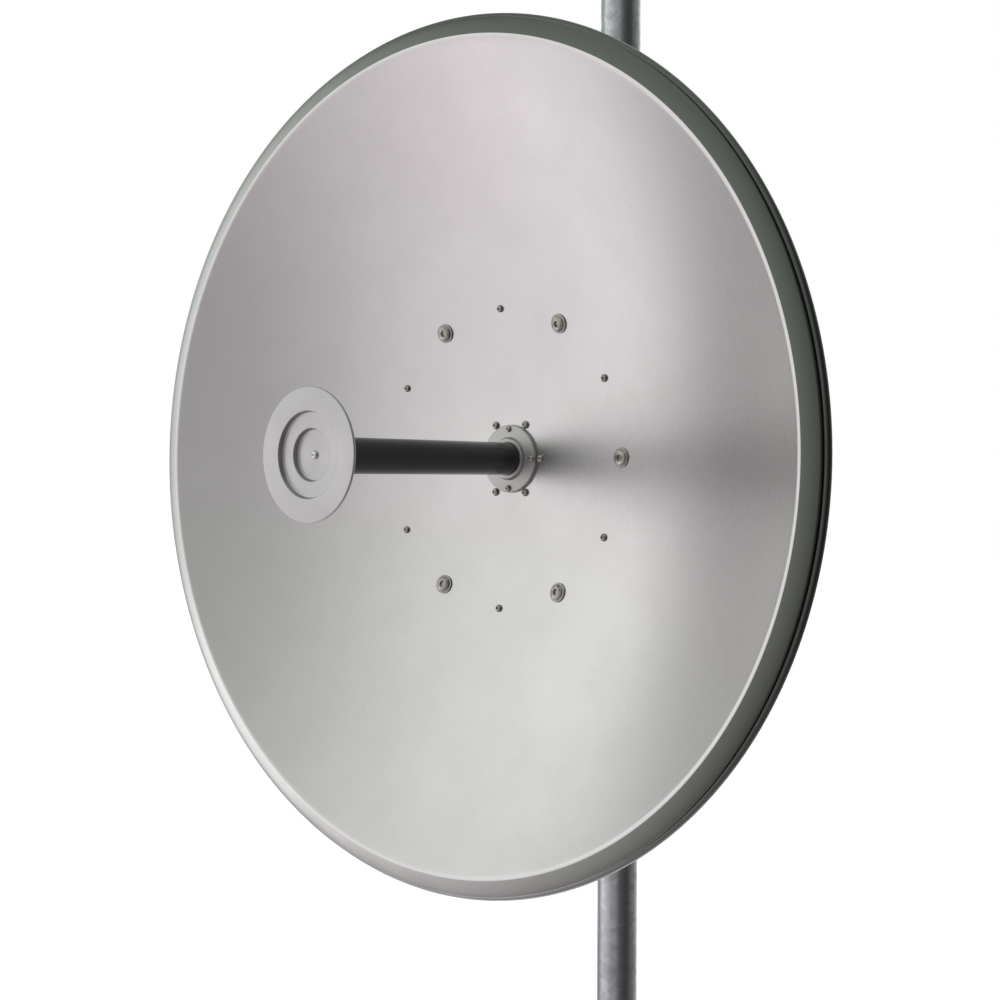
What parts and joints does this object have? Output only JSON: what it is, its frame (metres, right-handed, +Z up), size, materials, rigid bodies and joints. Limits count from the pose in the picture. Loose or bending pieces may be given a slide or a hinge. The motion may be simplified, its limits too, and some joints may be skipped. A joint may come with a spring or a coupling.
{
  "type": "microwave dish antenna",
  "caption": "Solid parabolic dish with a splash-plate feed on a central tube, tilting and turning in a clamp bracket on a vertical pipe mast.",
  "frame": {"origin": "centre of the mast pipe's lower end", "axes": "+Z up along the mast, the dish looks along -Y, +X to the dish's left as it looks out"},
  "size_m": [0.9094, 0.5372, 1.504],
  "materials": {
    "galvanised_pipe": "hot-dip galvanised, dull spangle",
    "galvanised_steel": "hot-dip galvanised plate",
    "zinc_fastener": "bright zinc plate",
    "stainless_fastener": "plain stainless",
    "spun_aluminium": "satin, spun",
    "pressed_aluminium": "mill finish",
    "machined_aluminium": "satin, turned",
    "black_sleeve": "semi-gloss black",
    "cap_plastic": "moulded black",
    "white_dielectric": "natural white",
    "nickel_plate": "bright nickel",
    "gold_brass": "gold flash on brass"
  },
  "bodies": {
    "mast": {"mast_tube": "galvanised_pipe", "mast_cap": "cap_plastic"},
    "bracket": {"clamp_channel": "galvanised_steel", "saddle_upper": "galvanised_steel", "saddle_lower": "galvanised_steel", "u_bolts": "zinc_fastener", "u_bolt_washers": "zinc_fastener", "u_bolt_nuts": "zinc_fastener", "pivot_bolts": "zinc_fastener", "pivot_washers": "zinc_fastener", "pivot_nuts": "zinc_fastener"},
    "dish": {"reflector": "spun_aluminium", "bowl_bolts": "stainless_fastener", "bowl_nuts": "zinc_fastener", "bowl_screws": "stainless_fastener", "bowl_screw_nuts": "zinc_fastener", "back_ring": "pressed_aluminium", "back_plate": "pressed_aluminium", "plate_bolts": "zinc_fastener", "plate_nuts": "zinc_fastener", "ear_right": "galvanised_steel", "ear_left": "galvanised_steel", "ear_bolts": "zinc_fastener", "ear_nuts": "zinc_fastener", "lock_bolts": "zinc_fastener", "lock_washers": "zinc_fastener", "lock_nuts": "zinc_fastener", "eye_bolt": "zinc_fastener", "eye_nut": "zinc_fastener", "feed_flange": "machined_aluminium", "hub_plate": "machined_aluminium", "hub_screws": "stainless_fastener", "hub_nuts": "zinc_fastener", "flange_screws": "stainless_fastener", "feed_clamp": "machined_aluminium", "clamp_screw": "stainless_fastener"},
    "feed": {"feed_tube": "black_sleeve", "waveguide": "machined_aluminium", "feed_collar": "machined_aluminium", "feed_spacer": "white_dielectric", "splash_plate": "machined_aluminium", "splash_screw": "stainless_fastener", "feed_housing": "machined_aluminium", "connector_shell": "nickel_plate", "connector_insulator": "white_dielectric", "feed_probe": "gold_brass"},
    "link": {"adjusting_rod": "galvanised_steel"},
    "swivel": {"trunnion": "galvanised_steel", "trunnion_clip": "zinc_fastener", "setting_nuts": "zinc_fastener"}
  },
  "joints": [
    {"name": "azimuth", "type": "hinge", "parent": "mast", "child": "bracket", "pos_m": [0, 0, 0.8], "axis": [0, 0, 1], "continuous": true},
    {"name": "elevation", "type": "hinge", "parent": "bracket", "child": "dish", "pos_m": [0, -0.095, 0.8], "axis": [-1, 0, 0], "range_deg": [-15, 15]},
    {"name": "polarisation", "type": "hinge", "parent": "dish", "child": "feed", "pos_m": [0, -0.20284, 0.8], "axis": [0, -1, 0], "range_deg": [-90, 90]},
    {"name": "rod_swing", "type": "hinge", "parent": "dish", "child": "link", "pos_m": [0.038, -0.131, 0.675], "axis": [-1, 0, 0], "range_deg": [-8, 8]},
    {"name": "trunnion_swing", "type": "hinge", "parent": "bracket", "child": "swivel", "pos_m": [0.038, -0.059, 0.675], "axis": [-1, 0, 0], "range_deg": [-8, 8]}
  ],
  "couplings": [
    {"joint": "rod_swing", "follows": "elevation", "ratio": -0.5},
    {"joint": "trunnion_swing", "follows": "elevation", "ratio": 0.5}
  ]
}
